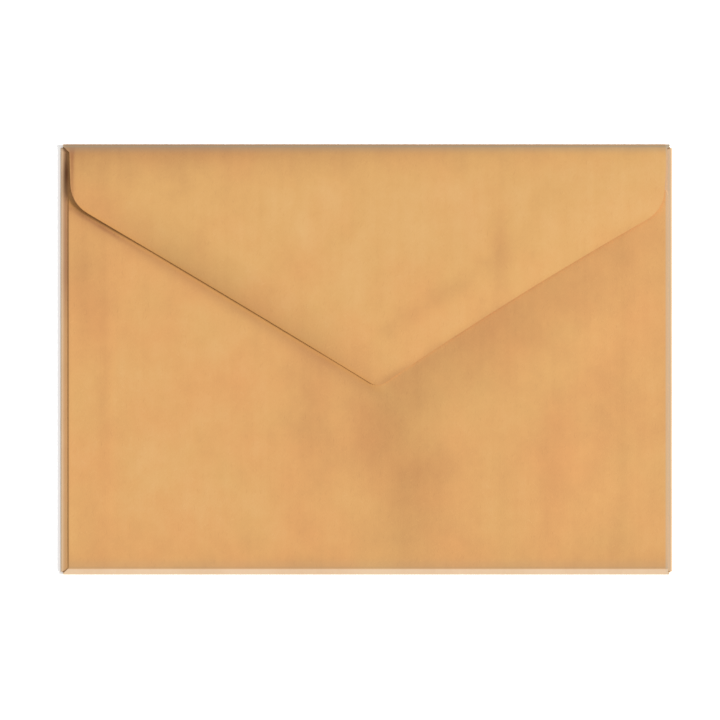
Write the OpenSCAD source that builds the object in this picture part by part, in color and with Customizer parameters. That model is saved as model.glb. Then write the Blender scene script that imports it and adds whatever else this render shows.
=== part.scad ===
// Kraft paper envelope with a V-shaped seal flap: one die-cut sheet, folded and glued.
// It lies on its address side. X runs along its long side, +Y points to the top fold
// and +Z out of its back. The origin is the middle of the underside.

/* [Envelope] */
// Length of the closed envelope, between the side folds
env_length = 162; // [120:0.5:330]
// Height of the closed envelope, between the bottom and top folds
env_height = 114; // [96:0.5:240]
// Thickness of the kraft paper
paper = 0.15; // [0.1:0.01:0.25]

/* [Folds] */
// Inside radius of the side folds
side_fold_r = 0.2; // [0.08:0.01:0.5]
// Notch at each corner of the sheet, which keeps two folds from running into each other
corner_notch = 0.4; // [0.2:0.1:0.8]

/* [Side seams] */
// Width of a seam flap, from its fold to its cut edge
seam_width = 12; // [6:0.5:25]
// Angle at which the ends of a seam flap slant in from its fold
seam_slant = 20; // [0:1:40]
// How far the back panel's left cut edge stays in from the side fold
back_inset_left = 2.2; // [1.6:0.1:5]
// How far the back panel's right cut edge stays in from the side fold
back_inset_right = 1.2; // [1.2:0.1:5]

/* [Throat] */
// Distance from the top fold down to the back panel's cut top edge
throat_drop = 11.5; // [8:0.5:30]
// Depth of the dip in that edge, at its middle
throat_dip = 4; // [0:0.5:12]
// Rounding of the back panel's two top corners
throat_corner_r = 2; // [1:0.5:12]

/* [Seal flap] */
// Distance from the top fold down to the point of the V, before it is rounded
flap_depth = 64.5; // [45:0.5:80]
// How far the point lies to the right of the envelope's middle
tip_offset = 3.1; // [-10:0.1:10]
// Rounding of the point
tip_r = 4; // [1:0.5:7]
// How far the flap's left side stays in from the side fold, next to the top fold
flap_inset_left = 2.4; // [1.6:0.1:6]
// How far the flap's right side stays in from the side fold, next to the top fold
flap_inset_right = 1.4; // [1.2:0.1:6]
// How far the left shoulder stays in from the side fold
shoulder_inset_left = 3; // [1.6:0.1:12]
// How far the right shoulder stays in from the side fold
shoulder_inset_right = 2.6; // [1.2:0.1:12]
// Distance from the top fold down to the left shoulder, before it is rounded
shoulder_drop_left = 15.8; // [10:0.1:26]
// Distance from the top fold down to the right shoulder, before it is rounded
shoulder_drop_right = 17.6; // [10:0.1:26]
// Rounding of the shoulders
shoulder_r = 9; // [7:0.5:12]
// Hollow of the long left edge, at its middle
edge_hollow_left = 0.2; // [0:0.1:4]
// Hollow of the long right edge, at its middle
edge_hollow_right = 1; // [0:0.1:4]

/* [Closed flap] */
// Air between the back panel and the flap, next to the top fold
flap_clearance = 0.2; // [0.1:0.01:1]
// Angle at which the paper springs the flap up from its fold
flap_spring = 4.9; // [2:0.1:8]
// Air between the back panel and the flap, at the point
tip_clearance = 0.1; // [0.05:0.01:1]

/* [Hidden] */
kraft = [0.87, 0.66, 0.42];
fold_facets = 96;
corner_facets = 72;
arc_steps = 40;

// Levels of the stacked layers, counted up from the table
seam_z = paper + 2 * side_fold_r;
back_z = seam_z + paper;
back_top_z = back_z + paper;
flap_z = back_top_z + flap_clearance;

// Inside radii of the two folds that reach over the layers between
bottom_fold_r = (back_z - paper) / 2;
top_fold_r = (flap_z - paper) / 2;

// Lines at which the flat front panel runs into its folds
side_x = env_length / 2 - side_fold_r - paper;
bottom_y = bottom_fold_r + paper - env_height / 2;
top_y = env_height / 2 - top_fold_r - paper;

// Ends of the side folds, and half the width of the bottom and top folds
side_low_y = bottom_y + corner_notch;
side_high_y = top_y - corner_notch;
fold_half = side_x - corner_notch;

// Points of a shallow arc from p to q that bows to the left of that direction
function bowed(p, q, bow) =
    let (along = q - p, left = [-along.y, along.x] / norm(along))
    [for (i = [0 : arc_steps]) let (t = i / arc_steps) p + along * t + left * 4 * bow * t * (1 - t)];

// Rounds the outward corners of an outline
module rounded(r) {
    offset(r = r, $fn = corner_facets) offset(delta = -r) children();
}

// A fold of the sheet about the X axis: it starts below the axis and rolls out to +Y and up
module fold_roll(inside_r, turn, length) {
    rotate([0, 90, 0])
        rotate_extrude(angle = turn, $fn = fold_facets)
            translate([inside_r, -length / 2]) square([paper, length]);
}

// Outline of a panel's root, slanting in from its fold at y = 0 to the panel's two sides
module fold_root(left_x, right_x) {
    polygon([
        [-fold_half, 0],
        [fold_half, 0],
        [right_x, right_x - fold_half],
        [left_x, -left_x - fold_half]
    ]);
}

// The address side, flat on the table, with its four corners notched
module front_panel() {
    right = [
        [fold_half, bottom_y],
        [side_x, side_low_y],
        [side_x, side_high_y],
        [fold_half, top_y]
    ];
    left = [for (i = [3 : -1 : 0]) [-right[i].x, right[i].y]];
    linear_extrude(paper) polygon(concat(right, left));
}

// The right side fold and its seam flap, which lies inside the pocket
module side_seam() {
    seam_x = env_length / 2 - seam_width;
    slant = (side_x - seam_x) * tan(seam_slant);
    translate([side_x, (side_low_y + side_high_y) / 2, side_fold_r + paper])
        rotate([0, 0, -90]) fold_roll(side_fold_r, 180, side_high_y - side_low_y);
    translate([0, 0, seam_z])
        linear_extrude(paper)
            polygon([
                [side_x, side_low_y],
                [side_x, side_high_y],
                [seam_x, side_high_y - slant],
                [seam_x, side_low_y + slant]
            ]);
}

// Outline of the back panel, up to its dipped throat edge
module back_outline() {
    left_x = back_inset_left - env_length / 2;
    right_x = env_length / 2 - back_inset_right;
    throat_y = env_height / 2 - throat_drop;
    below = bottom_y - 2 * throat_corner_r;
    throat = bowed([right_x, throat_y], [left_x, throat_y], throat_dip);
    intersection() {
        rounded(throat_corner_r)
            polygon(concat([[left_x, below], [right_x, below]], throat));
        translate([-env_length / 2, bottom_y]) square([env_length, env_height]);
    }
    translate([0, bottom_y]) mirror([0, 1]) fold_root(left_x, right_x);
}

// The bottom fold and the back panel, glued down on the two seam flaps
module back_panel() {
    translate([0, bottom_y, bottom_fold_r + paper])
        rotate([0, 0, 180]) fold_roll(bottom_fold_r, 180, 2 * fold_half);
    translate([0, 0, back_z]) linear_extrude(paper) back_outline();
}

// Sharp outline of the seal flap: two short sides, and two long edges that meet in a V
module flap_sharp() {
    fold_y = env_height / 2;
    above = fold_y + 2 * shoulder_r;
    left_x = flap_inset_left - env_length / 2;
    right_x = env_length / 2 - flap_inset_right;
    left_shoulder = [shoulder_inset_left - env_length / 2, fold_y - shoulder_drop_left];
    right_shoulder = [env_length / 2 - shoulder_inset_right, fold_y - shoulder_drop_right];
    tip = [tip_offset, fold_y - flap_depth];
    polygon(concat(
        [[right_x, fold_y], [right_x, above], [left_x, above], [left_x, fold_y]],
        bowed(left_shoulder, tip, edge_hollow_left),
        bowed(tip, right_shoulder, edge_hollow_right)
    ));
}

// Outline of the seal flap from above, with a blunt point and rounder shoulders
module flap_outline() {
    left_x = flap_inset_left - env_length / 2;
    right_x = env_length / 2 - flap_inset_right;
    low_half = (flap_depth + max(shoulder_drop_left, shoulder_drop_right)) / 2;
    rounded(shoulder_r) flap_sharp();
    intersection() {
        rounded(tip_r) flap_sharp();
        translate([-env_length / 2, env_height / 2 - flap_depth])
            square([env_length, flap_depth - low_half]);
    }
    translate([0, top_y]) fold_root(left_x, right_x);
}

// Side view of the flap beyond its fold, in a [Y, Z] frame with its origin on the fold's axis:
// an arc that leaves the fold at the spring angle and comes down to the back panel at the point
module flap_crown() {
    leaving = [sin(flap_spring), cos(flap_spring)];
    start = (top_fold_r + paper / 2) * leaving;
    tip = [
        env_height / 2 - flap_depth - top_y,
        back_top_z + tip_clearance - top_fold_r - paper / 2
    ];
    chord = tip - start;
    turn = 2 * (flap_spring - atan2(chord.y, -chord.x));
    crown_r = norm(chord) / (2 * sin(turn / 2));
    centre = start - crown_r * leaving;
    along = [for (i = [0 : arc_steps]) let (a = flap_spring - turn * i / arc_steps) [sin(a), cos(a)]];
    top_side = [for (d = along) centre + (crown_r + paper / 2) * d];
    under_side = [for (d = along) centre + (crown_r - paper / 2) * d];
    polygon(concat(top_side, [for (i = [arc_steps : -1 : 0]) under_side[i]]));
}

// The top fold and the seal flap, closed over the back panel but not stuck down
module seal_flap() {
    fold_z = top_fold_r + paper;
    translate([0, top_y, fold_z]) fold_roll(top_fold_r, 180 - flap_spring, 2 * fold_half);
    intersection() {
        translate([-env_length / 2, top_y, fold_z])
            rotate([90, 0, 90]) linear_extrude(env_length) flap_crown();
        linear_extrude(env_height) flap_outline();
    }
}

// The whole sheet
module envelope() {
    color(kraft) {
        front_panel();
        side_seam();
        mirror([1, 0, 0]) side_seam();
        back_panel();
        seal_flap();
    }
}

envelope();
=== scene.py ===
# %% [markdown]
# # A kraft paper envelope, folded from its flat blank
#
# An envelope starts as one die-cut sheet. A machine folds in two narrow seam flaps, glues the
# back panel down on them, and leaves a pointed seal flap that the user closes. This lesson makes
# it the same way: first the flat blank, then a Geometry Nodes tree that bends it along its five
# fold lines. Boxes stacked on each other would be quicker, but they would have no rolled
# folds, no springy flap and no paper grain that runs round the folds with the sheet.
#
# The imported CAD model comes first. It fixes every size and place, and the dressed sheet has to
# fit it without any moving or scaling.

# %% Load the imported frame
from math import atan2, cos, hypot, pi, radians, sin, tan

import bpy
import numpy as np
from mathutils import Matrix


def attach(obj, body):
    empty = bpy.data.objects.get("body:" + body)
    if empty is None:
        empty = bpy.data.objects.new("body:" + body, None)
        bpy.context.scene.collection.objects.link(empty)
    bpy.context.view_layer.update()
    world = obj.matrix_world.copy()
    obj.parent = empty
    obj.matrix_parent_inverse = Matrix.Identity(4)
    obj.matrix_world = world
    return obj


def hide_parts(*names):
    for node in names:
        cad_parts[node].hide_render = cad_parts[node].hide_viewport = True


MM = 0.001
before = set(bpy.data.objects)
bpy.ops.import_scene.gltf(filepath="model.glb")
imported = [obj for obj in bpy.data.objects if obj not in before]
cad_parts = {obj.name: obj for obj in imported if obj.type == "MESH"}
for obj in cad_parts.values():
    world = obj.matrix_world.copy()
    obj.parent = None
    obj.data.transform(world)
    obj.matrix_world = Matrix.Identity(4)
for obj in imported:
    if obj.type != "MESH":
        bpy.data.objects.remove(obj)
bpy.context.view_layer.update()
print("CAD nodes to dress:", len(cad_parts))

# %% [markdown]
# ## The envelope's real sizes
#
# Blender can't read the CAD source, so its sizes are written again here. Every bend radius is
# measured at the middle of the paper, because that line keeps its length when paper is bent.
# That is why it also gives the blank its true flat size.

# %% Sheet, folds and panel lines
length, height, paper = 162 * MM, 114 * MM, 0.15 * MM
side_inside, bottom_inside, top_inside = 0.2 * MM, 0.275 * MM, 0.45 * MM
side_bend, bottom_bend, top_bend = (r + paper / 2 for r in (side_inside, bottom_inside, top_inside))
side_x = length / 2 - side_inside - paper
bottom_y = bottom_inside + paper - height / 2
top_y = height / 2 - top_inside - paper
corner_notch = 0.4 * MM
fold_half = side_x - corner_notch
print("Flat front panel in mm:", round(2 * side_x / MM, 2), "by", round((top_y - bottom_y) / MM, 2))

# %% Seal flap, seams and throat
flap_spring = radians(4.9)
flap_depth, tip_offset, tip_r = 64.5 * MM, 3.1 * MM, 4 * MM
tip_clearance = 0.1 * MM
flap_left, flap_right = 2.4 * MM - length / 2, length / 2 - 1.4 * MM
left_shoulder = (3 * MM - length / 2, height / 2 - 15.8 * MM)
right_shoulder = (length / 2 - 2.6 * MM, height / 2 - 17.6 * MM)
shoulder_r = 9 * MM
hollow_left, hollow_right = 0.2 * MM, 1 * MM
tip = (tip_offset, height / 2 - flap_depth)
back_left, back_right = 2.2 * MM - length / 2, length / 2 - 1.2 * MM
throat_drop, throat_dip, throat_corner_r = 11.5 * MM, 4 * MM, 2 * MM
seam_width, seam_slant = 12 * MM, radians(20)
print("Sharp point of the flap in mm:", [round(c / MM, 2) for c in tip])

# %% [markdown]
# The closed flap isn't flat. It leaves its fold at a small angle, because the paper springs
# back, and then comes down to the back panel in one long arc. Three numbers describe that arc:
# where it starts, where its point lands, and the spring angle.

# %% The arc of the closed flap
back_top = 2 * bottom_bend + paper
flap_lands = back_top + tip_clearance + paper / 2
roll_end = np.array([sin(flap_spring), cos(flap_spring)]) * top_bend
landing = np.array([tip[1] - top_y, flap_lands - top_bend - paper / 2])
chord = landing - roll_end
crown_turn = 2 * (flap_spring - atan2(chord[1], -chord[0]))
crown_r = float(np.hypot(*chord)) / (2 * sin(crown_turn / 2))
side_roll, bottom_roll = pi * side_bend, pi * bottom_bend
top_roll = (pi - flap_spring) * top_bend
print("Flap arc radius in mm:", round(crown_r / MM, 1))


def flap_lean(y):
    """Angle of the closed flap's arc at height y of its plan: the spring angle at the fold."""
    run = top_y + roll_end[0] - np.asarray(y)
    return np.arcsin(run / crown_r - sin(flap_spring))


def flap_flat(y):
    """How far along the flat flap a point lies, from its height y in the closed flap's plan."""
    return crown_r * (flap_spring + flap_lean(y))


def flap_gap(y):
    """Air between the back panel and the arc of the flap at height y."""
    crown = crown_r * (np.cos(flap_lean(y)) - cos(flap_spring))
    return top_bend * (1 + cos(flap_spring)) + crown - back_top


# %% [markdown]
# ## Outlines of the cut edges
#
# The die cuts smooth lines: a V with rounded shoulders and a blunt point, and a shallow dip in
# the throat. Each outline is a line of points, with an arc put in at each corner.


# %% Shallow arcs and rounded corners
def bowed(p, q, bow, steps=40):
    """Points of a shallow arc from p to q, which bows to the left of that direction."""
    p, q = np.array(p, float), np.array(q, float)
    t = np.linspace(0, 1, steps + 1)[:, None]
    along = q - p
    left = np.array([-along[1], along[0]]) / np.hypot(*along)
    return p + along * t + left * 4 * bow * t * (1 - t)


def rounded(before, after, r, steps=24):
    """Two lines of points that meet in a corner, joined by an arc of radius r."""
    before, after = np.array(before, float), np.array(after, float)
    corner = after[0]
    a, b = before[-2] - corner, after[1] - corner
    a, b = a / np.hypot(*a), b / np.hypot(*b)
    half = np.arccos(np.clip(a @ b, -1, 1)) / 2
    reach = r / np.tan(half)
    centre = corner + (a + b) / np.hypot(*(a + b)) * r / np.sin(half)
    first, last = corner + a * reach - centre, corner + b * reach - centre
    turn = np.arctan2(first[0] * last[1] - first[1] * last[0], first @ last)
    angles = np.arctan2(first[1], first[0]) + turn * np.linspace(0, 1, steps + 1)
    arc = centre + r * np.stack([np.cos(angles), np.sin(angles)], 1)
    keep_before = before[np.hypot(*(before - corner).T) > reach]
    keep_after = after[np.hypot(*(after - corner).T) > reach]
    return np.concatenate([keep_before, arc, keep_after])


# %% Outline of the flap
down = rounded(
    [(flap_left, height / 2), left_shoulder], bowed(left_shoulder, tip, hollow_left), shoulder_r
)
across = rounded(down, bowed(tip, right_shoulder, hollow_right), tip_r)
outline = rounded(across, [right_shoulder, (flap_right, height / 2)], shoulder_r)
lowest = int(outline[:, 1].argmin())
flap_low_y = outline[lowest, 1]
left_line, right_line = outline[: lowest + 1][::-1], outline[lowest:]


def slanted(edge, side, from_fold):
    """A cut edge's distance from the middle, or the slant's where that lies further out."""
    slant = fold_half - from_fold
    return np.where(slant > side, slant, edge)


def flap_sides(y):
    """Left and right cut edge of the flap at height y, with the slants beside its fold."""
    left = -np.interp(y, left_line[:, 1], left_line[:, 0])
    right = np.interp(y, right_line[:, 1], right_line[:, 0])
    return -slanted(left, -flap_left, top_y - y), slanted(right, flap_right, top_y - y)


print("Rounded point of the flap in mm:", np.round(outline[lowest] / MM, 2))

# %% Outline of the back panel
throat_y = height / 2 - throat_drop
throat = bowed((back_right, throat_y), (back_left, throat_y), throat_dip)
panel_top = rounded([(back_right, bottom_y), throat[0]], throat, throat_corner_r)
panel_top = rounded(panel_top, [throat[-1], (back_left, bottom_y)], throat_corner_r)
panel_top = panel_top[1:-1][::-1]


def back_sides(above):
    """Left and right cut edge of the back panel at a distance above its fold."""
    left, right = (slanted(side, side, above) for side in (-back_left, back_right))
    return -left, right


def throat_at(x):
    """Height of the cut throat edge at x."""
    return np.interp(x, panel_top[:, 0], panel_top[:, 1])


print("Throat at its middle in mm:", round(float(throat_at(0.0)) / MM, 2))

# %% [markdown]
# ## Relief of a handled sheet
#
# Real paper is never quite flat. The flap's two long edges curl down towards the back panel,
# most of all the left one. The back panel puffs up like a pillow to the right of the flap and
# below its point, and its left cut edge has come up a little from its glue. Those forms are
# a millimetre or so high, but side light shows them clearly, so they are made as shape and not
# as bump. Each one is a height that is added to the flat sheet, written as a function of where the
# point lies in the closed envelope.


# %% Helpers for soft forms
def ease(x, low, high):
    """0 below low, 1 above high, and a smooth step between."""
    t = np.clip((x - low) / (high - low), 0, 1)
    return t * t * (3 - 2 * t)


def beside(x, y, p, q):
    """Signed distance of points from the line p to q, positive on its left."""
    run = hypot(q[0] - p[0], q[1] - p[1])
    return ((q[0] - p[0]) * (y - p[1]) - (q[1] - p[1]) * (x - p[0])) / run


# %% Heights of the back panel
VALLEY_FOOT = (7.5 * MM, bottom_y)
PUFF_HEIGHT, PUFF_BLEND = 1.2 * MM, 2.5 * MM
PUFF_STARTS, PUFF_FULL = -6 * MM, 17 * MM
CALM_AT_SIDE, CALM_AT_BOTTOM = 42 * MM, 24 * MM
EDGE_LIFT, EDGE_LIFT_WIDTH = 0.02 * MM, 1.2 * MM
SEAM_STEP, SEAM_STEP_STARTS, SEAM_STEP_FULL = 0.06 * MM, 11.7 * MM, 14.2 * MM


def back_rise(x, y):
    """Height of the back panel's relief over its flat place."""
    past_edge = beside(x, y, right_shoulder, tip)
    past_valley = beside(x, y, tip, VALLEY_FOOT)
    nearer = np.exp(-past_edge / PUFF_BLEND) + np.exp(-past_valley / PUFF_BLEND)
    puff = ease(-PUFF_BLEND * np.log(nearer), PUFF_STARTS, PUFF_FULL)
    above_fold = y - bottom_y
    calm = ease(side_x - x, 0, CALM_AT_SIDE) * ease(above_fold, 0, CALM_AT_BOTTOM)
    from_cut_edge = (x - back_left) / EDGE_LIFT_WIDTH
    lift = EDGE_LIFT * np.exp(-(from_cut_edge**2)) * ease(above_fold, 1 * MM, 9 * MM)
    off_seam = ease(side_x - np.abs(x), SEAM_STEP_STARTS, SEAM_STEP_FULL)
    off_seam = off_seam * ease(above_fold, 2 * MM, 10 * MM)
    return PUFF_HEIGHT * puff * calm + lift - SEAM_STEP * off_seam


# %% Heights of the flap
LEFT_CURL, LEFT_CURL_WIDTH = 0.94, 11 * MM
LEFT_CURL_STARTS, LEFT_CURL_FULL = -14 * MM, 24 * MM
RIGHT_CURL, RIGHT_CURL_WIDTH = 0.6, 22 * MM
CURL_OFF_FOLD, LEAST_AIR = 9 * MM, 0.05 * MM


def flap_rise(x, y):
    """Height of the flap's relief over its arc, never so low that it meets the back panel."""
    gap = flap_gap(y)
    from_left = beside(x, y, left_shoulder, tip)
    from_right = beside(x, y, tip, right_shoulder)
    curl = LEFT_CURL * np.clip(1 - from_left / LEFT_CURL_WIDTH, 0, 1) ** 2
    curl = curl * ease(x - left_shoulder[0], LEFT_CURL_STARTS, LEFT_CURL_FULL)
    curl = curl + RIGHT_CURL * np.clip(1 - from_right / RIGHT_CURL_WIDTH, 0, 1) ** 2
    rise = -curl * gap * ease(top_y - y, 0, CURL_OFF_FOLD)
    lowest_rise = back_rise(x, y) + LEAST_AIR - gap
    return np.maximum(rise, np.where(gap > LEAST_AIR, lowest_rise, rise))


# %% [markdown]
# ## The flat blank
#
# The blank is a quilt of grids that share their border points. Back panel, bottom fold, front
# panel, top fold and flap are stacked in one tall column of grids, with the same number of
# cells across, and the seam flaps hang on its sides. Cells are narrow at the edges, where the
# cut corners need them, and wide in the middle.

# %% Grids of points
ACROSS, EDGE_CROWDING = 120, 0.78
even = np.arange(ACROSS + 1) / ACROSS
share = even - EDGE_CROWDING * np.sin(2 * pi * even) / (2 * pi)


def stretch(sides, rows):
    """One point for each row and column, between a left and a right edge."""
    left, right = (np.broadcast_to(s, rows.shape)[:, None] for s in sides)
    return left + (right - left) * share


def steps(low, high, size):
    """Even steps of about that size from low to high, both ends included."""
    return np.linspace(low, high, max(2, round((high - low) / size)) + 1)


# %% Front panel and its two folds
FRONT_CELL, ROLL_CELLS = 2.6 * MM, 12
front_rows = np.concatenate(
    [[bottom_y], steps(bottom_y + corner_notch, top_y - corner_notch, FRONT_CELL), [top_y]]
)
front_half = np.minimum(side_x, fold_half + np.minimum(front_rows - bottom_y, top_y - front_rows))
patches = []


def add_patch(flat_x, flat_y, push, loose):
    """Keeps a grid of the blank: its flat places, its relief and how freely it cockles."""
    flat_x, flat_y, push, loose = np.broadcast_arrays(flat_x, flat_y, push, loose)
    patches.append(np.stack([flat_x, flat_y, push, loose], 2))


add_patch(stretch((-front_half, front_half), front_rows), front_rows[:, None], 0.0, 0.0)
for line, roll in ((bottom_y - bottom_roll, bottom_roll), (top_y, top_roll)):
    rows = steps(line, line + roll, roll / ROLL_CELLS)
    add_patch(stretch((-fold_half, fold_half), rows), rows[:, None], 0.0, 0.0)
print("Rows of the front panel:", len(front_rows))

# %% Back panel, loose away from its fold, its seams and the flap's left edge
BACK_CELL, BACK_ROOT = 1.3 * MM, np.array([0, 0.45, 0.95, 1.45, 2.4]) * MM
full = throat_y - bottom_y
above = np.concatenate([BACK_ROOT[:-1], steps(BACK_ROOT[-1], full, BACK_CELL)])
x = stretch(back_sides(above), above)
above = above[:, None] * (throat_at(x) - bottom_y) / full
y = bottom_y + above
loose = ease(above, 1 * MM, 8 * MM) * ease(side_x - np.abs(x), 8 * MM, 20 * MM)
loose = loose * ease(np.abs(beside(x, y, left_shoulder, tip)), 1 * MM, 9 * MM)
rise = back_rise(x, y)
add_patch(x, bottom_y - bottom_roll - above, -rise, -loose)
print("Relief of the back panel in mm:", round(rise.min() / MM, 2), "to", round(rise.max() / MM, 2))

# %% Seal flap, loose away from its fold, its point and its left edge
FLAP_CELL, FLAP_ROOT = 0.95 * MM, np.array([1.65, 1.15, 0.65, 0.3]) * MM
TIP_CELLS, TIP_HEIGHT = 12, 3.2 * MM
near_tip = flap_low_y + TIP_HEIGHT * np.linspace(0, 1, TIP_CELLS + 1) ** 2
y = np.concatenate(
    [
        near_tip,
        steps(near_tip[-1], top_y - FLAP_ROOT[0], FLAP_CELL)[1:],
        top_y - FLAP_ROOT[1:],
    ]
)
x = stretch(flap_sides(y), y)
x = np.concatenate([x, stretch((-fold_half, fold_half), y[-1:])])
y = np.append(y, top_y + roll_end[0])[:, None]
from_tip = np.hypot(x - tip[0], y - tip[1])
loose = ease(top_y - y, 0.5 * MM, 8 * MM) * ease(from_tip, 4 * MM, 24 * MM)
loose = loose * ease(beside(x, y, left_shoulder, tip), 1 * MM, 9 * MM)
rise = flap_rise(x, y)
add_patch(x, top_y + top_roll + flap_flat(y), -rise, -loose)
print("Relief of the flap in mm:", round(rise.min() / MM, 2), "to", round(rise.max() / MM, 2))

# %% Seam flaps
SEAM_CELL, SIDE_ROLL_CELLS = 1.7 * MM, 10
seam_rows = front_rows[1:-1]
row_share = (seam_rows - seam_rows[0]) / (seam_rows[-1] - seam_rows[0])
roll_steps = steps(0, side_roll, side_roll / SIDE_ROLL_CELLS)
flap_steps = steps(0, seam_width - side_inside - paper, SEAM_CELL)[1:]
out = np.concatenate([roll_steps, side_roll + flap_steps])
slant = tan(seam_slant) * np.concatenate([0 * roll_steps, flap_steps])
low, high = seam_rows[0] + slant, seam_rows[-1] - slant
seam_y = low + (high - low) * row_share[:, None]
add_patch(side_x + out, seam_y, 0.0, 0.0)
add_patch(-(side_x + out)[::-1], seam_y[:, ::-1], 0.0, 0.0)
print("Grids in the blank:", len(patches))

# %% [markdown]
# The grids are now sewn together. Points of neighbours that share a place become one point,
# and the row of cells at the flap's point closes into triangles. The sheet then gets its real
# thickness: a copy of every face on the other side, and a narrow rim all round the cut edge.

# %% Sew the grids into one sheet
SEWN_PER_METRE, TINY = 1e7, 1e-9


def grid_cells(rows, columns, first):
    """Corner numbers of each cell, anticlockwise from its lower left."""
    at = first + np.arange(rows * columns).reshape(rows, columns)
    corners = [at[:-1, :-1], at[:-1, 1:], at[1:, 1:], at[1:, :-1]]
    return np.stack([c.ravel() for c in corners], 1)


points, cells, first = [], [], 0
for patch in patches:
    rows, columns = patch.shape[:2]
    upright = patch[-1, 0, 1] > patch[0, 0, 1]
    patch = patch if upright else patch[::-1]
    points.append(patch.reshape(-1, 4))
    cells.append(grid_cells(rows, columns, first))
    first += rows * columns
points, cells = np.concatenate(points), np.concatenate(cells)
_, kept, place = np.unique(
    np.round(points[:, :2] * SEWN_PER_METRE), axis=0, return_index=True, return_inverse=True
)
points, cells = points[kept], place.ravel()[cells]
faces = [[v for i, v in enumerate(c) if v != c[i - 1]] for c in cells.tolist()]
faces = [f for f in faces if len(f) > 2]
print("Points and faces on one side:", len(points), len(faces))


# %% Find the cut edge and its outward direction
def around(face):
    """The edges of a face, each as a pair of points."""
    return zip(face, face[1:] + face[:1])


directed = {edge for f in faces for edge in around(f)}
rim = sorted((a, b) for a, b in directed if (b, a) not in directed)
outward = np.zeros((len(points), 2))
for a, b in rim:
    run = points[b, :2] - points[a, :2]
    side = np.array([run[1], -run[0]]) / max(np.hypot(*run), TINY)
    outward[a] += side
    outward[b] += side
outward /= np.maximum(np.hypot(*outward.T), TINY)[:, None]
edge_m = sum(float(np.hypot(*(points[a, :2] - points[b, :2]))) for a, b in rim)
print("Cut edge in mm:", round(edge_m / MM, 1))

# %% Build the flat blank, two faces thick
count = len(points)
flat = np.concatenate([np.full(count, paper / 2), np.full(count, -paper / 2)])
places = np.column_stack([np.tile(points[:, :2], (2, 1)), flat])
inner_faces = faces
outer_faces = [[v + count for v in reversed(f)] for f in faces]
rim_faces = [[b, a, a + count, b + count] for a, b in rim]
blank_mesh = bpy.data.meshes.new("kraft_envelope")
blank_mesh.from_pydata(places.tolist(), [], inner_faces + outer_faces + rim_faces)
for name, column in (("push", 2), ("loose", 3)):
    layer = blank_mesh.attributes.new(name, "FLOAT", "POINT")
    layer.data.foreach_set("value", np.tile(points[:, column], 2).astype(np.float32))
kinds = [len(inner_faces), len(outer_faces), len(rim_faces)]
for name, value in (("inner_side", (1, 0, 0)), ("cut_edge", (0, 0, 1))):
    layer = blank_mesh.attributes.new(name, "FLOAT", "FACE")
    layer.data.foreach_set("value", np.repeat(value, kinds).astype(np.float32))
blank_mesh.shade_smooth()
print("Blank with both sides and its rim:", len(blank_mesh.polygons), "faces")


# %% Measure the flat sheet
def face_area(face):
    """Area of one face of the flat sheet."""
    doubled = sum(points[a, 0] * points[b, 1] - points[b, 0] * points[a, 1] for a, b in around(face))
    return abs(doubled) / 2


flat_low, flat_high = points[:, :2].min(0), points[:, :2].max(0)
sheet_area = sum(face_area(f) for f in faces)
print("Flat sheet in mm:", np.round((flat_high - flat_low) / MM, 1))
print("Its area in cm2:", round(sheet_area * 1e4, 1))

# %% [markdown]
# Two UV maps go with the sheet. `blank` holds the flat place of every point in millimetres, so
# grain and wear can follow the paper round its folds. `OFBake` lays the two sides of the sheet
# next to each other, each in one piece, which keeps baked textures free of seams.

# %% UV maps of the blank
BAKE_GAP, BAKE_RIM = 3 * MM, 0.5 * MM
corner_point = np.zeros(len(blank_mesh.loops), np.int64)
blank_mesh.loops.foreach_get("vertex_index", corner_point)
on_outer = corner_point >= count
flat_place = points[corner_point % count, :2]
first_rim_corner = sum(len(f) for f in inner_faces + outer_faces)
on_rim = np.arange(len(corner_point)) >= first_rim_corner
sheet_uv = blank_mesh.uv_layers.new(name="blank")
sheet_uv.uv.foreach_set("vector", (flat_place / MM).astype(np.float32).ravel())
shown = flat_place + outward[corner_point % count] * BAKE_RIM * (on_rim & ~on_outer)[:, None]
inside = flat_place - flat_low + BAKE_GAP
outside = np.column_stack([flat_high[0] - shown[:, 0], shown[:, 1] - flat_low[1]]) + BAKE_GAP
flat_width = flat_high[0] - flat_low[0]
outside[:, 0] += flat_width + BAKE_GAP
span = 2 * flat_width + 3 * BAKE_GAP
bake_uv = np.where((on_outer | on_rim)[:, None], outside, inside) / span
bake_layer = blank_mesh.uv_layers.new(name="OFBake")
bake_layer.uv.foreach_set("vector", bake_uv.astype(np.float32).ravel())
print("UV maps:", [layer.name for layer in blank_mesh.uv_layers])

# %% [markdown]
# ## A short way to write node trees
#
# Node trees are long when each link is written by hand. The small class below wraps a socket,
# so that ordinary arithmetic adds Math nodes, and `Bench` adds any other node with its settings
# and its inputs in one call. The fold tree and the paper's material both use them.


# %% Sockets that take part in arithmetic
class Wire:
    """A socket in a node tree. Arithmetic on it adds Math nodes."""

    def __init__(self, bench, socket):
        self.bench, self.socket = bench, socket

    def math(self, operation, *others):
        values = dict(enumerate((self, *others)))
        return self.bench.add("ShaderNodeMath", {"operation": operation}, values)

    def __add__(self, other):
        return self.math("ADD", other)

    def __sub__(self, other):
        return self.math("SUBTRACT", other)

    def __rsub__(self, other):
        return self.bench.number(other).math("SUBTRACT", self)

    def __mul__(self, other):
        return self.math("MULTIPLY", other)

    def __truediv__(self, other):
        return self.math("DIVIDE", other)

    def __rtruediv__(self, other):
        return self.bench.number(other).math("DIVIDE", self)

    def __neg__(self):
        return self.math("MULTIPLY", -1.0)

    __radd__, __rmul__ = __add__, __mul__

    def within(self, low, high):
        return self.math("MAXIMUM", low).math("MINIMUM", high)

    def exp(self):
        return self.math("EXPONENT")


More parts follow.
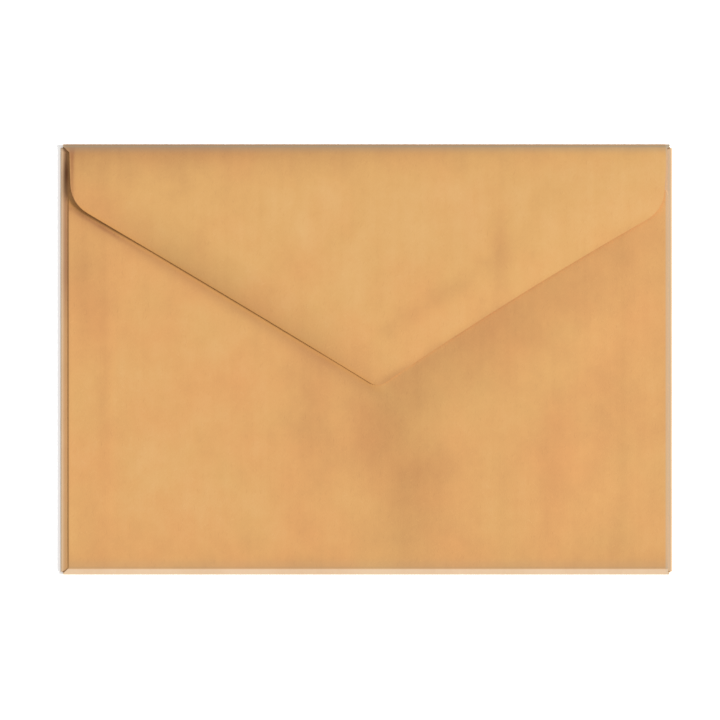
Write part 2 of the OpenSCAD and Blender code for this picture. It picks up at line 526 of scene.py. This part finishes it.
class Bench:
    """Adds nodes to one tree."""

    def __init__(self, tree):
        self.tree = tree
        tree.nodes.clear()

    def node(self, kind, settings=None, sockets=None):
        """A node of a kind, with its settings made first and then its sockets filled."""
        node = self.tree.nodes.new(kind)
        for name, value in (settings or {}).items():
            setattr(node, name, value)
        for key, value in (sockets or {}).items():
            if isinstance(value, Wire):
                self.tree.links.new(value.socket, node.inputs[key])
            else:
                node.inputs[key].default_value = value
        return node

    def add(self, kind, settings=None, sockets=None, output=0):
        return Wire(self, self.node(kind, settings, sockets).outputs[output])

    def number(self, value):
        node = self.tree.nodes.new("ShaderNodeValue")
        node.outputs[0].default_value = value
        return Wire(self, node.outputs[0])


# %% [markdown]
# ## Folding, as a rule
#
# A fold is simple to describe. Up to the fold line the sheet stays where it is. Past it, the
# sheet rolls round a small circle until it has turned far enough, and from there it runs on
# straight. The same rule with a very large circle makes the flap's long arc, so one node group
# serves all five bends.

# %% Node group for one bend
bend = bpy.data.node_groups.new("bend_along_a_line", "GeometryNodeTree")
for name, kind in (
    ("Geometry", "NodeSocketGeometry"),
    ("Outward", "NodeSocketVector"),
    ("Fold line", "NodeSocketFloat"),
    ("Bend radius", "NodeSocketFloat"),
    ("Turn", "NodeSocketFloat"),
):
    bend.interface.new_socket(name, in_out="INPUT", socket_type=kind)
bend.interface.new_socket("Geometry", in_out="OUTPUT", socket_type="NodeSocketGeometry")
bench = Bench(bend)
given = bench.node("NodeGroupInput")
way, line, radius, turn = (Wire(bench, given.outputs[i]) for i in range(1, 5))
place = bench.add("GeometryNodeInputPosition")
depth = bench.add("ShaderNodeSeparateXYZ", {}, {0: place}, output=2)
run = bench.add("ShaderNodeVectorMath", {"operation": "DOT_PRODUCT"}, {0: place, 1: way}, output=1)
past = run - line
angle = (past / radius).within(0.0, turn)
beyond = past - angle * radius
arm = radius - depth
cosine, sine = angle.math("COSINE"), angle.math("SINE")
slide = arm * sine + beyond * cosine - past
lift = radius - arm * cosine + beyond * sine - depth
sideways = bench.add("ShaderNodeVectorMath", {"operation": "SCALE"}, {0: way, "Scale": slide})
upwards = bench.add("ShaderNodeCombineXYZ", {}, {"Z": lift})
shift = bench.add("ShaderNodeVectorMath", {"operation": "ADD"}, {0: sideways, 1: upwards})
moved = bench.add(
    "GeometryNodeSetPosition", {}, {"Geometry": Wire(bench, given.outputs[0]), "Offset": shift}
)
bench.node("NodeGroupOutput", {}, {0: moved})
print("Bend group nodes:", len(bend.nodes))

# %% [markdown]
# The envelope's own tree first gives the flat sheet its relief. The named attribute `push`
# carries the forms of the last section, and a fixed noise adds the slight cockle that paper has
# from damp. Then the bends follow in the machine's order: the two seam flaps, the bottom, and
# last the seal flap, which is curled before it is folded over.

# %% Tree that folds the envelope
COCKLE_HEIGHT, COCKLE_LENGTH, COCKLE_SEED = 0.1 * MM, 17 * MM, 4.0
fold_tree = bpy.data.node_groups.new("fold_the_envelope", "GeometryNodeTree")
tree_inputs = {
    "Geometry": ("NodeSocketGeometry", None),
    "Paper": ("NodeSocketFloat", paper),
    "Side fold line": ("NodeSocketFloat", side_x),
    "Side bend radius": ("NodeSocketFloat", side_bend),
    "Bottom fold line": ("NodeSocketFloat", -bottom_y),
    "Bottom bend radius": ("NodeSocketFloat", bottom_bend),
    "Top fold line": ("NodeSocketFloat", top_y),
    "Top bend radius": ("NodeSocketFloat", top_bend),
    "Flap spring": ("NodeSocketFloat", flap_spring),
    "Flap arc radius": ("NodeSocketFloat", crown_r),
    "Cockle height": ("NodeSocketFloat", COCKLE_HEIGHT),
    "Cockle length": ("NodeSocketFloat", COCKLE_LENGTH),
    "Cockle seed": ("NodeSocketFloat", COCKLE_SEED),
    "Paper finish": ("NodeSocketMaterial", None),
}
identifiers = {
    name: fold_tree.interface.new_socket(name, in_out="INPUT", socket_type=kind).identifier
    for name, (kind, _) in tree_inputs.items()
}
fold_tree.interface.new_socket("Geometry", in_out="OUTPUT", socket_type="NodeSocketGeometry")
bench = Bench(fold_tree)
given = bench.node("NodeGroupInput")
ask = {name: Wire(bench, given.outputs[name]) for name in tree_inputs}

# %% Relief before the folds
COCKLE_ACROSS = (1, 0.6, 0)
flat_at = bench.add("GeometryNodeInputPosition")
across_sheet = bench.add(
    "ShaderNodeVectorMath", {"operation": "MULTIPLY"}, {0: flat_at, 1: COCKLE_ACROSS}
)
scaled = bench.add(
    "ShaderNodeVectorMath",
    {"operation": "SCALE"},
    {0: across_sheet, "Scale": 1 / ask["Cockle length"]},
)
cockle = bench.add(
    "ShaderNodeTexNoise",
    {"noise_dimensions": "4D"},
    {"Vector": scaled, "W": ask["Cockle seed"], "Scale": 1.0, "Detail": 3.0, "Roughness": 0.55},
)
read = {"data_type": "FLOAT"}
push = bench.add("GeometryNodeInputNamedAttribute", read, {"Name": "push"})
loose = bench.add("GeometryNodeInputNamedAttribute", read, {"Name": "loose"})
relief = push + loose * ask["Cockle height"] * (cockle - 0.5)
sheet = bench.add(
    "GeometryNodeSetPosition",
    {},
    {"Geometry": ask["Geometry"], "Offset": bench.add("ShaderNodeCombineXYZ", {}, {"Z": relief})},
)

# %% The five bends, in order
MOST_ARC_TURN = pi / 4
flap_line = ask["Top fold line"] + (pi - ask["Flap spring"]) * ask["Top bend radius"]
for outward_way, line, radius, turn in (
    ((1, 0, 0), ask["Side fold line"], ask["Side bend radius"], pi),
    ((-1, 0, 0), ask["Side fold line"], ask["Side bend radius"], pi),
    ((0, -1, 0), ask["Bottom fold line"], ask["Bottom bend radius"], pi),
    ((0, 1, 0), flap_line, ask["Flap arc radius"], MOST_ARC_TURN),
    ((0, 1, 0), ask["Top fold line"], ask["Top bend radius"], pi - ask["Flap spring"]),
):
    values = {0: sheet, 1: outward_way, 2: line, 3: radius, 4: turn}
    sheet = bench.add("GeometryNodeGroup", {"node_tree": bend}, values)
on_table = bench.add("ShaderNodeCombineXYZ", {}, {"Z": ask["Paper"] / 2})
sheet = bench.add("GeometryNodeSetPosition", {}, {"Geometry": sheet, "Offset": on_table})
sheet = bench.add("GeometryNodeRealizeInstances", {}, {0: sheet})
sheet = bench.add("GeometryNodeSetMaterial", {}, {0: sheet, "Material": ask["Paper finish"]})
bench.node("NodeGroupOutput", {}, {0: sheet})
print("Fold tree nodes:", len(fold_tree.nodes))

# %% [markdown]
# ## The look of kraft paper
#
# Kraft paper is made of long brown pulp fibres. Close up it shows fine streaks along the
# sheet's grain, small cloudy flocs where the pulp lay thicker, and a few single dark and pale
# fibres. Handling rubs the fold ridges and the cut edges paler. Along the top fold and the seams,
# shade is painted in as darker bands and lines.
# Those patterns read the flat `blank` map, so that they run unbroken from the front panel round
# each fold. All their lengths are in millimetres.

# %% The paper's node tree
kraft = bpy.data.materials.new("kraft_paper")
kraft.use_nodes = True
bench = Bench(kraft.node_tree)
flat_uv = bench.add("ShaderNodeUVMap", {"uv_map": "blank"})
flat_xyz = bench.node("ShaderNodeSeparateXYZ", {}, {0: flat_uv})
u, v = Wire(bench, flat_xyz.outputs[0]), Wire(bench, flat_xyz.outputs[1])
cut = bench.add("ShaderNodeAttribute", {"attribute_name": "cut_edge"}, output=2)
inner = bench.add("ShaderNodeAttribute", {"attribute_name": "inner_side"}, output=2)


def noise(scale_u, scale_v, seed, detail=3.0, roughness=0.5, turned=0.0):
    """Noise from about -1 to 1, with so many waves for each millimetre along u and v."""
    at = bench.add(
        "ShaderNodeMapping",
        {},
        {"Vector": flat_uv, "Rotation": (0, 0, turned), "Location": (seed * 3.7, seed * 1.3, seed)},
    )
    at = bench.add("ShaderNodeVectorMath", {"operation": "MULTIPLY"}, {0: at, 1: (scale_u, scale_v, 1)})
    settings = {"noise_dimensions": "3D"}
    sockets = {"Vector": at, "Scale": 1.0, "Detail": detail, "Roughness": roughness}
    return (bench.add("ShaderNodeTexNoise", settings, sockets) - 0.5) * 2.0


# %% [markdown]
# Four small helpers draw every mark. A bell is a soft line, a ramp lets a mark come in or run
# out along the paper, a fade is dirt that thins out from an edge, and a weighted sum lays the
# marks on each other.


# %% Helpers that draw marks
def bell(value, middle, width):
    """A soft bell: 1 at its middle, and near 0 two widths away."""
    scaled = (value - middle) / width
    return (-(scaled * scaled)).exp()


def ramp(value, zero_at, one_at, least=0.0, most=1.0):
    """A straight slope that is 0 and 1 at those two values, kept between least and most."""
    return ((value - zero_at) / (one_at - zero_at)).within(least, most)


def fade(value, distance):
    """1 up to 0, and from there down to about a third over each such distance."""
    return (value.math("MAXIMUM", 0.0) / -distance).exp()


def weighted(*parts):
    """The sum of patterns, each times its strength."""
    total = 0.0
    for pattern, strength in parts:
        total = pattern * strength + total
    return total


# %% Clouds, flocs, streaks and fibres
clouds = noise(0.03, 0.022, 1, detail=2.0)
flocs = noise(0.13, 0.1, 2, detail=5.0, roughness=0.62)
streaks = noise(0.6, 0.02, 3, roughness=0.6)
tooth = noise(5.0, 1.6, 4, roughness=0.6)
warmth = noise(0.06, 0.05, 11)
HAIR_ANGLES, FIRST_HAIR_SEED = (8, -22, 50, -64), 5
PEAK_FLOOR, PEAK_ROOM, PEAK_GAIN = 0.38, 0.12, 8.0
hairs = [
    noise(5.5, 0.4, FIRST_HAIR_SEED + i, detail=1.0, turned=radians(angle))
    for i, angle in enumerate(HAIR_ANGLES)
]
dark_hairs, pale_hairs = (
    (a.math("MAXIMUM", b) - PEAK_FLOOR).within(0.0, PEAK_ROOM) * PEAK_GAIN
    for a, b in (hairs[:2], hairs[2:])
)
print("Fibre patterns ready, of", len(hairs), "noises")

# %% Where a point lies on the blank
# Each distance is above zero past its fold.
from_top = v - (top_y + top_roll) / MM
from_bottom = (bottom_y - bottom_roll) / MM - v
past_side = u.math("ABSOLUTE") - (side_x + side_roll) / MM
on_flap, on_back, on_seam = (
    past.math("GREATER_THAN", 0.0) for past in (from_top, from_bottom, past_side)
)
on_left, on_right = ramp(u, 0.0, -1.0), ramp(u, 0.0, 1.0)

# %% Rubbed ridges, and darker bands and painted shade beside the folds and seams
# The bottom fold is rubbed from 1.5 mm before the back panel's line to 1.3 mm past it, and a
# side fold along the middle of its roll.
ridge_bottom = ramp(from_bottom, 1.333, 1.0) * ramp(from_bottom, -1.5, -1.167)
ridge_width, ridge_wear = 0.74 - u * 0.0015, 0.87 - u * 0.002
ridge_side = bell(past_side, -side_roll / 2 / MM, ridge_width) * ridge_wear
right_cut = back_right / MM
rim_right = ramp(u, right_cut - 0.8, right_cut - 0.467)
rubbed = (ridge_bottom * 0.84).math("MAXIMUM", ridge_side) * (0.95 + flocs * 0.3).within(0.0, 1.0)
rubbed = rubbed.math("MAXIMUM", rim_right * 0.3)
# Painted shade on the flap beside the top fold, deeper to the left.
top_fold_shade = fade(from_top, 4.3) * ramp(from_top, -top_roll / MM, 0.0)
top_fold_shade = top_fold_shade * (0.65 - u * 0.005 + clouds * 0.25).within(0.0, 1.2)
bottom_band = fade(from_bottom, 6.5) * on_back
# Painted shadow on the seam flaps beside the back panel's left and right cut edges.
seam_left = bell(past_side, 0.95, 0.85) * on_left
seam_right = bell(past_side, 0.6, 0.3) * on_right
# Grey brown lines: painted shade along the top fold and beside the seams, with greyer lines beside the
# bottom fold and along the right rim.
crease_shade = weighted(
    (bell(from_top, 0.4, 1.2), 0.38),
    (bell(from_top, 0.05, 0.3), 0.46),
    (bell(from_bottom, 1.5, 0.26) * on_back, 0.22),
    (bell(from_bottom, 2.2, 1.3) * on_back, 0.15),
    (rim_right, 0.36),
    (seam_left, 0.12),
    (seam_right, 0.3),
)
print("Paper patterns ready")

# %% [markdown]
# Other marks belong to the closed envelope and not to the blank: painted shade and shadow on both
# sides of the flap's left edge and along its right edge, a darker line inside its right edge,
# painted shade on the back panel beside the flap and below its point, and a few smears, of which
# those beside the flap's point are painted shade too. They read the place of the point in the
# finished object instead.

# %% Where a point lies in the closed envelope
# Distances from the flap's two long edges are above zero on the flap and below zero beside it.
closed_at = bench.add("ShaderNodeTexCoord", output=3)
closed_xyz = bench.node("ShaderNodeSeparateXYZ", {}, {0: closed_at})
at_x, at_y = Wire(bench, closed_xyz.outputs[0]), Wire(bench, closed_xyz.outputs[1])
inside_left = beside(at_x, at_y, left_shoulder, tip) / MM
inside_right = beside(at_x, at_y, tip, right_shoulder) / MM
past_valley = beside(at_x, at_y, tip, VALLEY_FOOT) / MM
x_mm, y_mm = at_x / MM, at_y / MM
right_of_tip, above_tip = x_mm - tip[0] / MM, y_mm - tip[1] / MM

# %% Painted shade and shadow on both sides of the flap's left edge
# Painted shade on the flap as it curls down to its left edge.
left_flap_shade = fade(inside_left, 2.9) * ramp(right_of_tip, -72.6, -50.6) * on_flap * (0.9 + flocs)
# Painted shadow on the back panel beside the flap's left edge.
left_back_shadow = weighted(
    (bell(inside_left, -0.7, 1.3), 0.3),
    (bell(inside_left, -1.4, 2.3), 0.4),
    (bell(inside_left, -1.25, 0.6) * ramp(right_of_tip, -59.0, -69.0), 0.5),
)
left_back_shadow = left_back_shadow * ramp(right_of_tip, 3.6, -2.4) * on_back * (0.95 + flocs)
# A rust brown painted into the shadow line along the flap's left edge.
edge_shadow_tint = bell(inside_left, -0.1, 0.85) * ramp(right_of_tip, 2.0, -3.0) * (on_flap + on_back)

# %% Painted shade on both sides of the flap's right edge, and a darker line inside it
# A darker line about 12 mm inside the flap's right edge.
inner_right_line = bell(inside_right, 11.8, 2.8) * ramp(right_of_tip, 29.4, 15.4)
inner_right_line = inner_right_line * ramp(right_of_tip, -2.5, 2.5) * on_flap
# Painted shade on the flap along its right edge.
right_flap_shade = bell(inside_right, 0.0, 1.7) * ramp(right_of_tip, 90.0, 0.0)
right_flap_shade = right_flap_shade * ramp(right_of_tip, -3.0, 2.0) * on_flap
# Painted shade on the back panel, where its pillow rises beside the flap's right edge and below the
# flap's point.
right_back_shade = ramp(inside_right, -17.92, -3.92) * ramp(right_of_tip, 92.0, 12.0, least=0.45)
right_back_shade = right_back_shade * ramp(right_of_tip, 78.4, 64.4, least=0.3)
next_to_edge = bell(inside_right, -1.5, 2.5) * ramp(right_of_tip, 42.75, -2.25, most=0.5)
right_back_shade = (right_back_shade + next_to_edge) * ramp(right_of_tip, -3.6, 2.4)
valley_shade = bell(past_valley, 3.5, 7.0) * ramp(above_tip, 1.2, -4.8)
pillow_shade = (right_back_shade * 0.36).math("MAXIMUM", valley_shade * 0.22) * on_back

# %% Painted shadow beside the seams, and in the gap at the flap's upper left corner
left_cut, flap_cut = back_left / MM, flap_left / MM
# Painted shadow beside both cut edges of the back panel and along the flap's left side. On the left it
# deepens towards the top, in the flap's shade.
shadow_upwards = (0.4 + y_mm * 0.035).within(0.58, 1.35)
seam_shadow = weighted(
    (seam_left * shadow_upwards, 1.0),
    (seam_right, 0.25),
    (bell(u, left_cut, 0.4) * on_back, 0.2),
    (bell(u, flap_cut + 0.8, 0.55) * on_flap, 0.85),
)
# A painted shadow in the gap beside the flap's upper left corner.
corner_shadow = bell(past_side, 1.2, 0.6) * bell(y_mm, 49.2, 3.0) * on_left

# %% [markdown]
# Each smear is a soft oval. The table gives its middle, its half sizes and how much it darkens
# the paper. One of them is a paler spot, so its depth is below zero.

# %% Smears, and painted shade beside the flap's point
SMEARS_AND_SHADE = (
    # Painted shade beside the flap's point, and below it
    (-13.5, -16.0, 6.5, 14.0, 0.4),
    (-1.0, -17.0, 5.0, 12.0, 0.46),
    (-17.0, -2.0, 6.0, 5.0, 0.2),
    (12.0, -10.5, 5.0, 4.0, 0.2),
    (19.5, -32.0, 8.0, 12.0, 0.22),
    # The paler spot under the point
    (3.4, -8.8, 4.5, 3.4, -0.32),
    # The flap's streak, and its clouds
    (35.2, 29.5, 2.6, 11.0, 0.4),
    (34.0, 25.5, 9.0, 3.5, 0.2),
    (-21.0, 25.0, 6.0, 5.0, 0.16),
    (21.0, 15.0, 17.0, 9.0, 0.14),
    # The back panel's streak, and its clouds
    (48.5, -25.0, 3.6, 16.0, 0.25),
    (61.0, -14.0, 11.0, 16.0, 0.2),
    (64.0, -24.0, 26.0, 36.0, 0.09),
    # Below the left shoulder, and round the right one
    (-76.0, 24.0, 7.0, 15.0, 0.42),
    (68.0, 24.0, 16.0, 13.0, 0.17),
    # The left seam flap's cut edge, which shows through
    (-69.0, -4.0, 2.3, 48.0, 0.19),
)
smears_and_shade = weighted(
    *(
        (bell(x_mm, x, half_width) * bell(y_mm, y, half_height), depth)
        for x, y, half_width, half_height, depth in SMEARS_AND_SHADE
    )
)
smears_and_shade = smears_and_shade * (on_flap + on_back + on_seam)
print("Marks of use ready:", len(SMEARS_AND_SHADE), "smears_and_shade")

# %% [markdown]
# The paper's tone is one number. Below zero the colour goes towards the deep brown, and above
# zero towards the pale one. The other colours then go on top, one after the other.

# %% Tone of the paper
# Besides the paper's own tone, this sum holds painted shade: beside the flap's edges, the top fold and
# the seams, on the back panel's pillow, and in the ovals by the flap's point.
tone = 0.02 + weighted(
    (clouds, 0.16),
    (flocs, 0.42),
    (streaks, 0.1),
    (tooth, 0.22),
    (pale_hairs, 0.26),
    (dark_hairs, -0.34),
    (top_fold_shade, -1.35),
    (bottom_band, -0.3),
    (left_flap_shade, -0.46),
    (left_back_shadow, -1.0),
    (right_flap_shade, -0.6),
    (inner_right_line, -0.3),
    (pillow_shade, -1.0),
    (seam_shadow, -1.0),
    (smears_and_shade, -1.0),
    (on_flap * (x_mm * 0.0012 + 0.06), 1.0),
)
print("Nodes up to the tone:", len(kraft.node_tree.nodes))


# %% Colour of the paper
def mixed(factor, a, b):
    """Two colours, or two wires that carry colours, mixed by a factor."""
    return bench.add("ShaderNodeMix", {"data_type": "RGBA"}, {0: factor, 6: a, 7: b}, output=2)


MID, WARM = (0.745, 0.413, 0.146, 1), (0.775, 0.372, 0.135, 1)
DEEP, PALE = (0.445, 0.198, 0.078, 1), (0.86, 0.54, 0.24, 1)
# The rust brown, the grey brown and the darkest brown are painted shade colours: for the shadow line
# along the flap's left edge, the lines along folds and seams, and the gap at the flap's upper left
# corner.
SHADOW_RUST, CREASE_SHADE = (0.68, 0.3, 0.06, 1), (0.36, 0.295, 0.205, 1)
SHADOW_BROWN, RUBBED, CUT = (0.21, 0.062, 0.012, 1), (0.9, 0.71, 0.51, 1), (0.85, 0.62, 0.38, 1)
cooler = ramp(y_mm, 3.0, 63.0, most=0.32) * ramp(inside_left, 0.0, 9.0) * on_flap
colour = mixed((0.38 + warmth * 0.8 - cooler + smears_and_shade * 0.6).within(0.0, 0.85), MID, WARM)
for amount, laid_on in (
    ((tone * -0.67).within(0.0, 1.0), DEEP),
    (tone.within(0.0, 1.0), PALE),
    (edge_shadow_tint * 0.32, SHADOW_RUST),
    (crease_shade, CREASE_SHADE),
    (corner_shadow * 0.8, SHADOW_BROWN),
    ((rubbed * 0.8).within(0.0, 1.0), RUBBED),
    (inner * 0.12, PALE),
    (cut * 0.7, CUT),
):
    colour = mixed(amount, colour, laid_on)

# %% Surface of the paper
BUMP_HEIGHT, BUMP_STRENGTH = 0.03 * MM, 0.6
ROUGHNESS, SHEEN = 0.82, 0.25
height_map = weighted(
    (tooth, 0.5), (flocs, 0.8), (pale_hairs, 0.4), (dark_hairs, 0.3), (streaks, 0.25)
)
bump = bench.add(
    "ShaderNodeBump", {}, {"Strength": BUMP_STRENGTH, "Distance": BUMP_HEIGHT, "Height": height_map}
)
surface = bench.node(
    "ShaderNodeBsdfPrincipled",
    {},
    {
        "Base Color": colour,
        "Roughness": (ROUGHNESS + flocs * 0.05 - rubbed * 0.1).within(0.5, 1.0),
        "Specular IOR Level": SHEEN,
        "Normal": bump,
    },
)
bench.node("ShaderNodeOutputMaterial", {}, {0: Wire(bench, surface.outputs[0])})
print("Paper material nodes:", len(kraft.node_tree.nodes))

# %% [markdown]
# ## Fold it and take the result
#
# The modifier's inputs are set by their identifiers, and then the evaluated object is turned
# into a plain mesh. What is left is one finished piece, with its place in its mesh and its
# object at the origin, as the frame expects.

# %% Run the fold tree
SHARP_OVER = radians(50)
envelope = bpy.data.objects.new("kraft_envelope", blank_mesh)
bpy.context.scene.collection.objects.link(envelope)
fold = envelope.modifiers.new("fold", "NODES")
fold.node_group = fold_tree
for name, (_, value) in tree_inputs.items():
    if value is not None:
        fold[identifiers[name]] = value
fold[identifiers["Paper finish"]] = kraft
bpy.context.view_layer.update()
evaluated = envelope.evaluated_get(bpy.context.evaluated_depsgraph_get())
folded = bpy.data.meshes.new_from_object(evaluated)
envelope.modifiers.clear()
envelope.data = folded
folded.name = "kraft_envelope"
folded.materials.clear()
folded.materials.append(kraft)
folded.set_sharp_from_angle(angle=SHARP_OVER)
corners = np.array([vertex.co for vertex in folded.vertices])
print("Folded box in mm:", np.round(corners.min(0) / MM, 3), np.round(corners.max(0) / MM, 3))
print("UV maps kept:", [layer.name for layer in folded.uv_layers], "faces:", len(folded.polygons))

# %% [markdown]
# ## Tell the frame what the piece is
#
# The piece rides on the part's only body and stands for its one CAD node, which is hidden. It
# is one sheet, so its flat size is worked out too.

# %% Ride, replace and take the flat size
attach(envelope, "root")
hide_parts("envelope")
flat_size = tuple(float(s) for s in flat_high - flat_low)
print("Declared flat size in mm:", [round(s / MM, 1) for s in flat_size])

# %% [markdown]
# ## Table, light and camera
#
# The envelope lies on a plain white table. A soft key light comes in low from the right, so
# that the flap's left edge throws a narrow shadow and the slight relief shows. The world lights
# the rest evenly. Together they bring a flat sheet to about the colour that it was given. The
# table and the world are brighter to the camera than to the envelope, so both show as white.

# %% White table
TABLE_REACH, TABLE_DROP = 12.0, 0.05 * MM
TABLE_TO_LIGHT, TABLE_TO_CAMERA = (0.8, 0.8, 0.8, 1), (2.0, 2.0, 2.0, 1)
table_mesh = bpy.data.meshes.new("table")
table_corners = [
    (x * TABLE_REACH, y * TABLE_REACH, -TABLE_DROP)
    for x, y in ((-1, -1), (1, -1), (1, 1), (-1, 1))
]
table_mesh.from_pydata(table_corners, [], [(0, 1, 2, 3)])
table = bpy.data.objects.new("table", table_mesh)
bpy.context.scene.collection.objects.link(table)
table_white = bpy.data.materials.new("table_white")
table_white.use_nodes = True
bench = Bench(table_white.node_tree)
seen = bench.add("ShaderNodeLightPath", output=0)
table_colour = mixed(seen, TABLE_TO_LIGHT, TABLE_TO_CAMERA)
diffuse = bench.add("ShaderNodeBsdfDiffuse", {}, {"Color": table_colour})
bench.node("ShaderNodeOutputMaterial", {}, {0: diffuse})
table_mesh.materials.append(table_white)
print("Table under the envelope by mm:", round(TABLE_DROP / MM, 2))

# %% Soft key light and even fill
KEY_AZIMUTH, KEY_ELEVATION, KEY_SOFTNESS = radians(-3), radians(26), radians(22)
KEY_SHARE, FILL_SHARE = 0.58, 0.42
key = bpy.data.lights.new("key", "SUN")
key.energy = KEY_SHARE * pi / sin(KEY_ELEVATION)
key.angle = KEY_SOFTNESS
key_light = bpy.data.objects.new("key", key)
key_light.rotation_euler = (0, pi / 2 - KEY_ELEVATION, KEY_AZIMUTH)
bpy.context.scene.collection.objects.link(key_light)
world = bpy.data.worlds.new("studio")
bpy.context.scene.world = world
world.use_nodes = True
bench = Bench(world.node_tree)
seen = bench.add("ShaderNodeLightPath", output=0)
strength = seen * (1 - FILL_SHARE) + FILL_SHARE
glow = bench.add("ShaderNodeBackground", {}, {"Color": (1, 1, 1, 1), "Strength": strength})
bench.node("ShaderNodeOutputWorld", {}, {0: glow})
print("Strength of the key light:", round(key.energy, 2))

# %% Camera, straight down
PICTURE_WIDTH, PICTURE_MIDDLE = 190.8 * MM, (-1.7 * MM, -0.13 * MM)
LENS, SENSOR = 100.0, 36.0
camera = bpy.data.cameras.new("camera")
camera.lens, camera.sensor_width = LENS, SENSOR
camera.clip_start, camera.clip_end = 0.01, 60
camera_object = bpy.data.objects.new("camera", camera)
camera_object.location = (*PICTURE_MIDDLE, PICTURE_WIDTH * LENS / SENSOR)
bpy.context.scene.collection.objects.link(camera_object)
bpy.context.scene.camera = camera_object
bpy.context.scene.view_settings.view_transform = "Standard"
print("Camera over the table by m:", round(camera_object.location.z, 3))
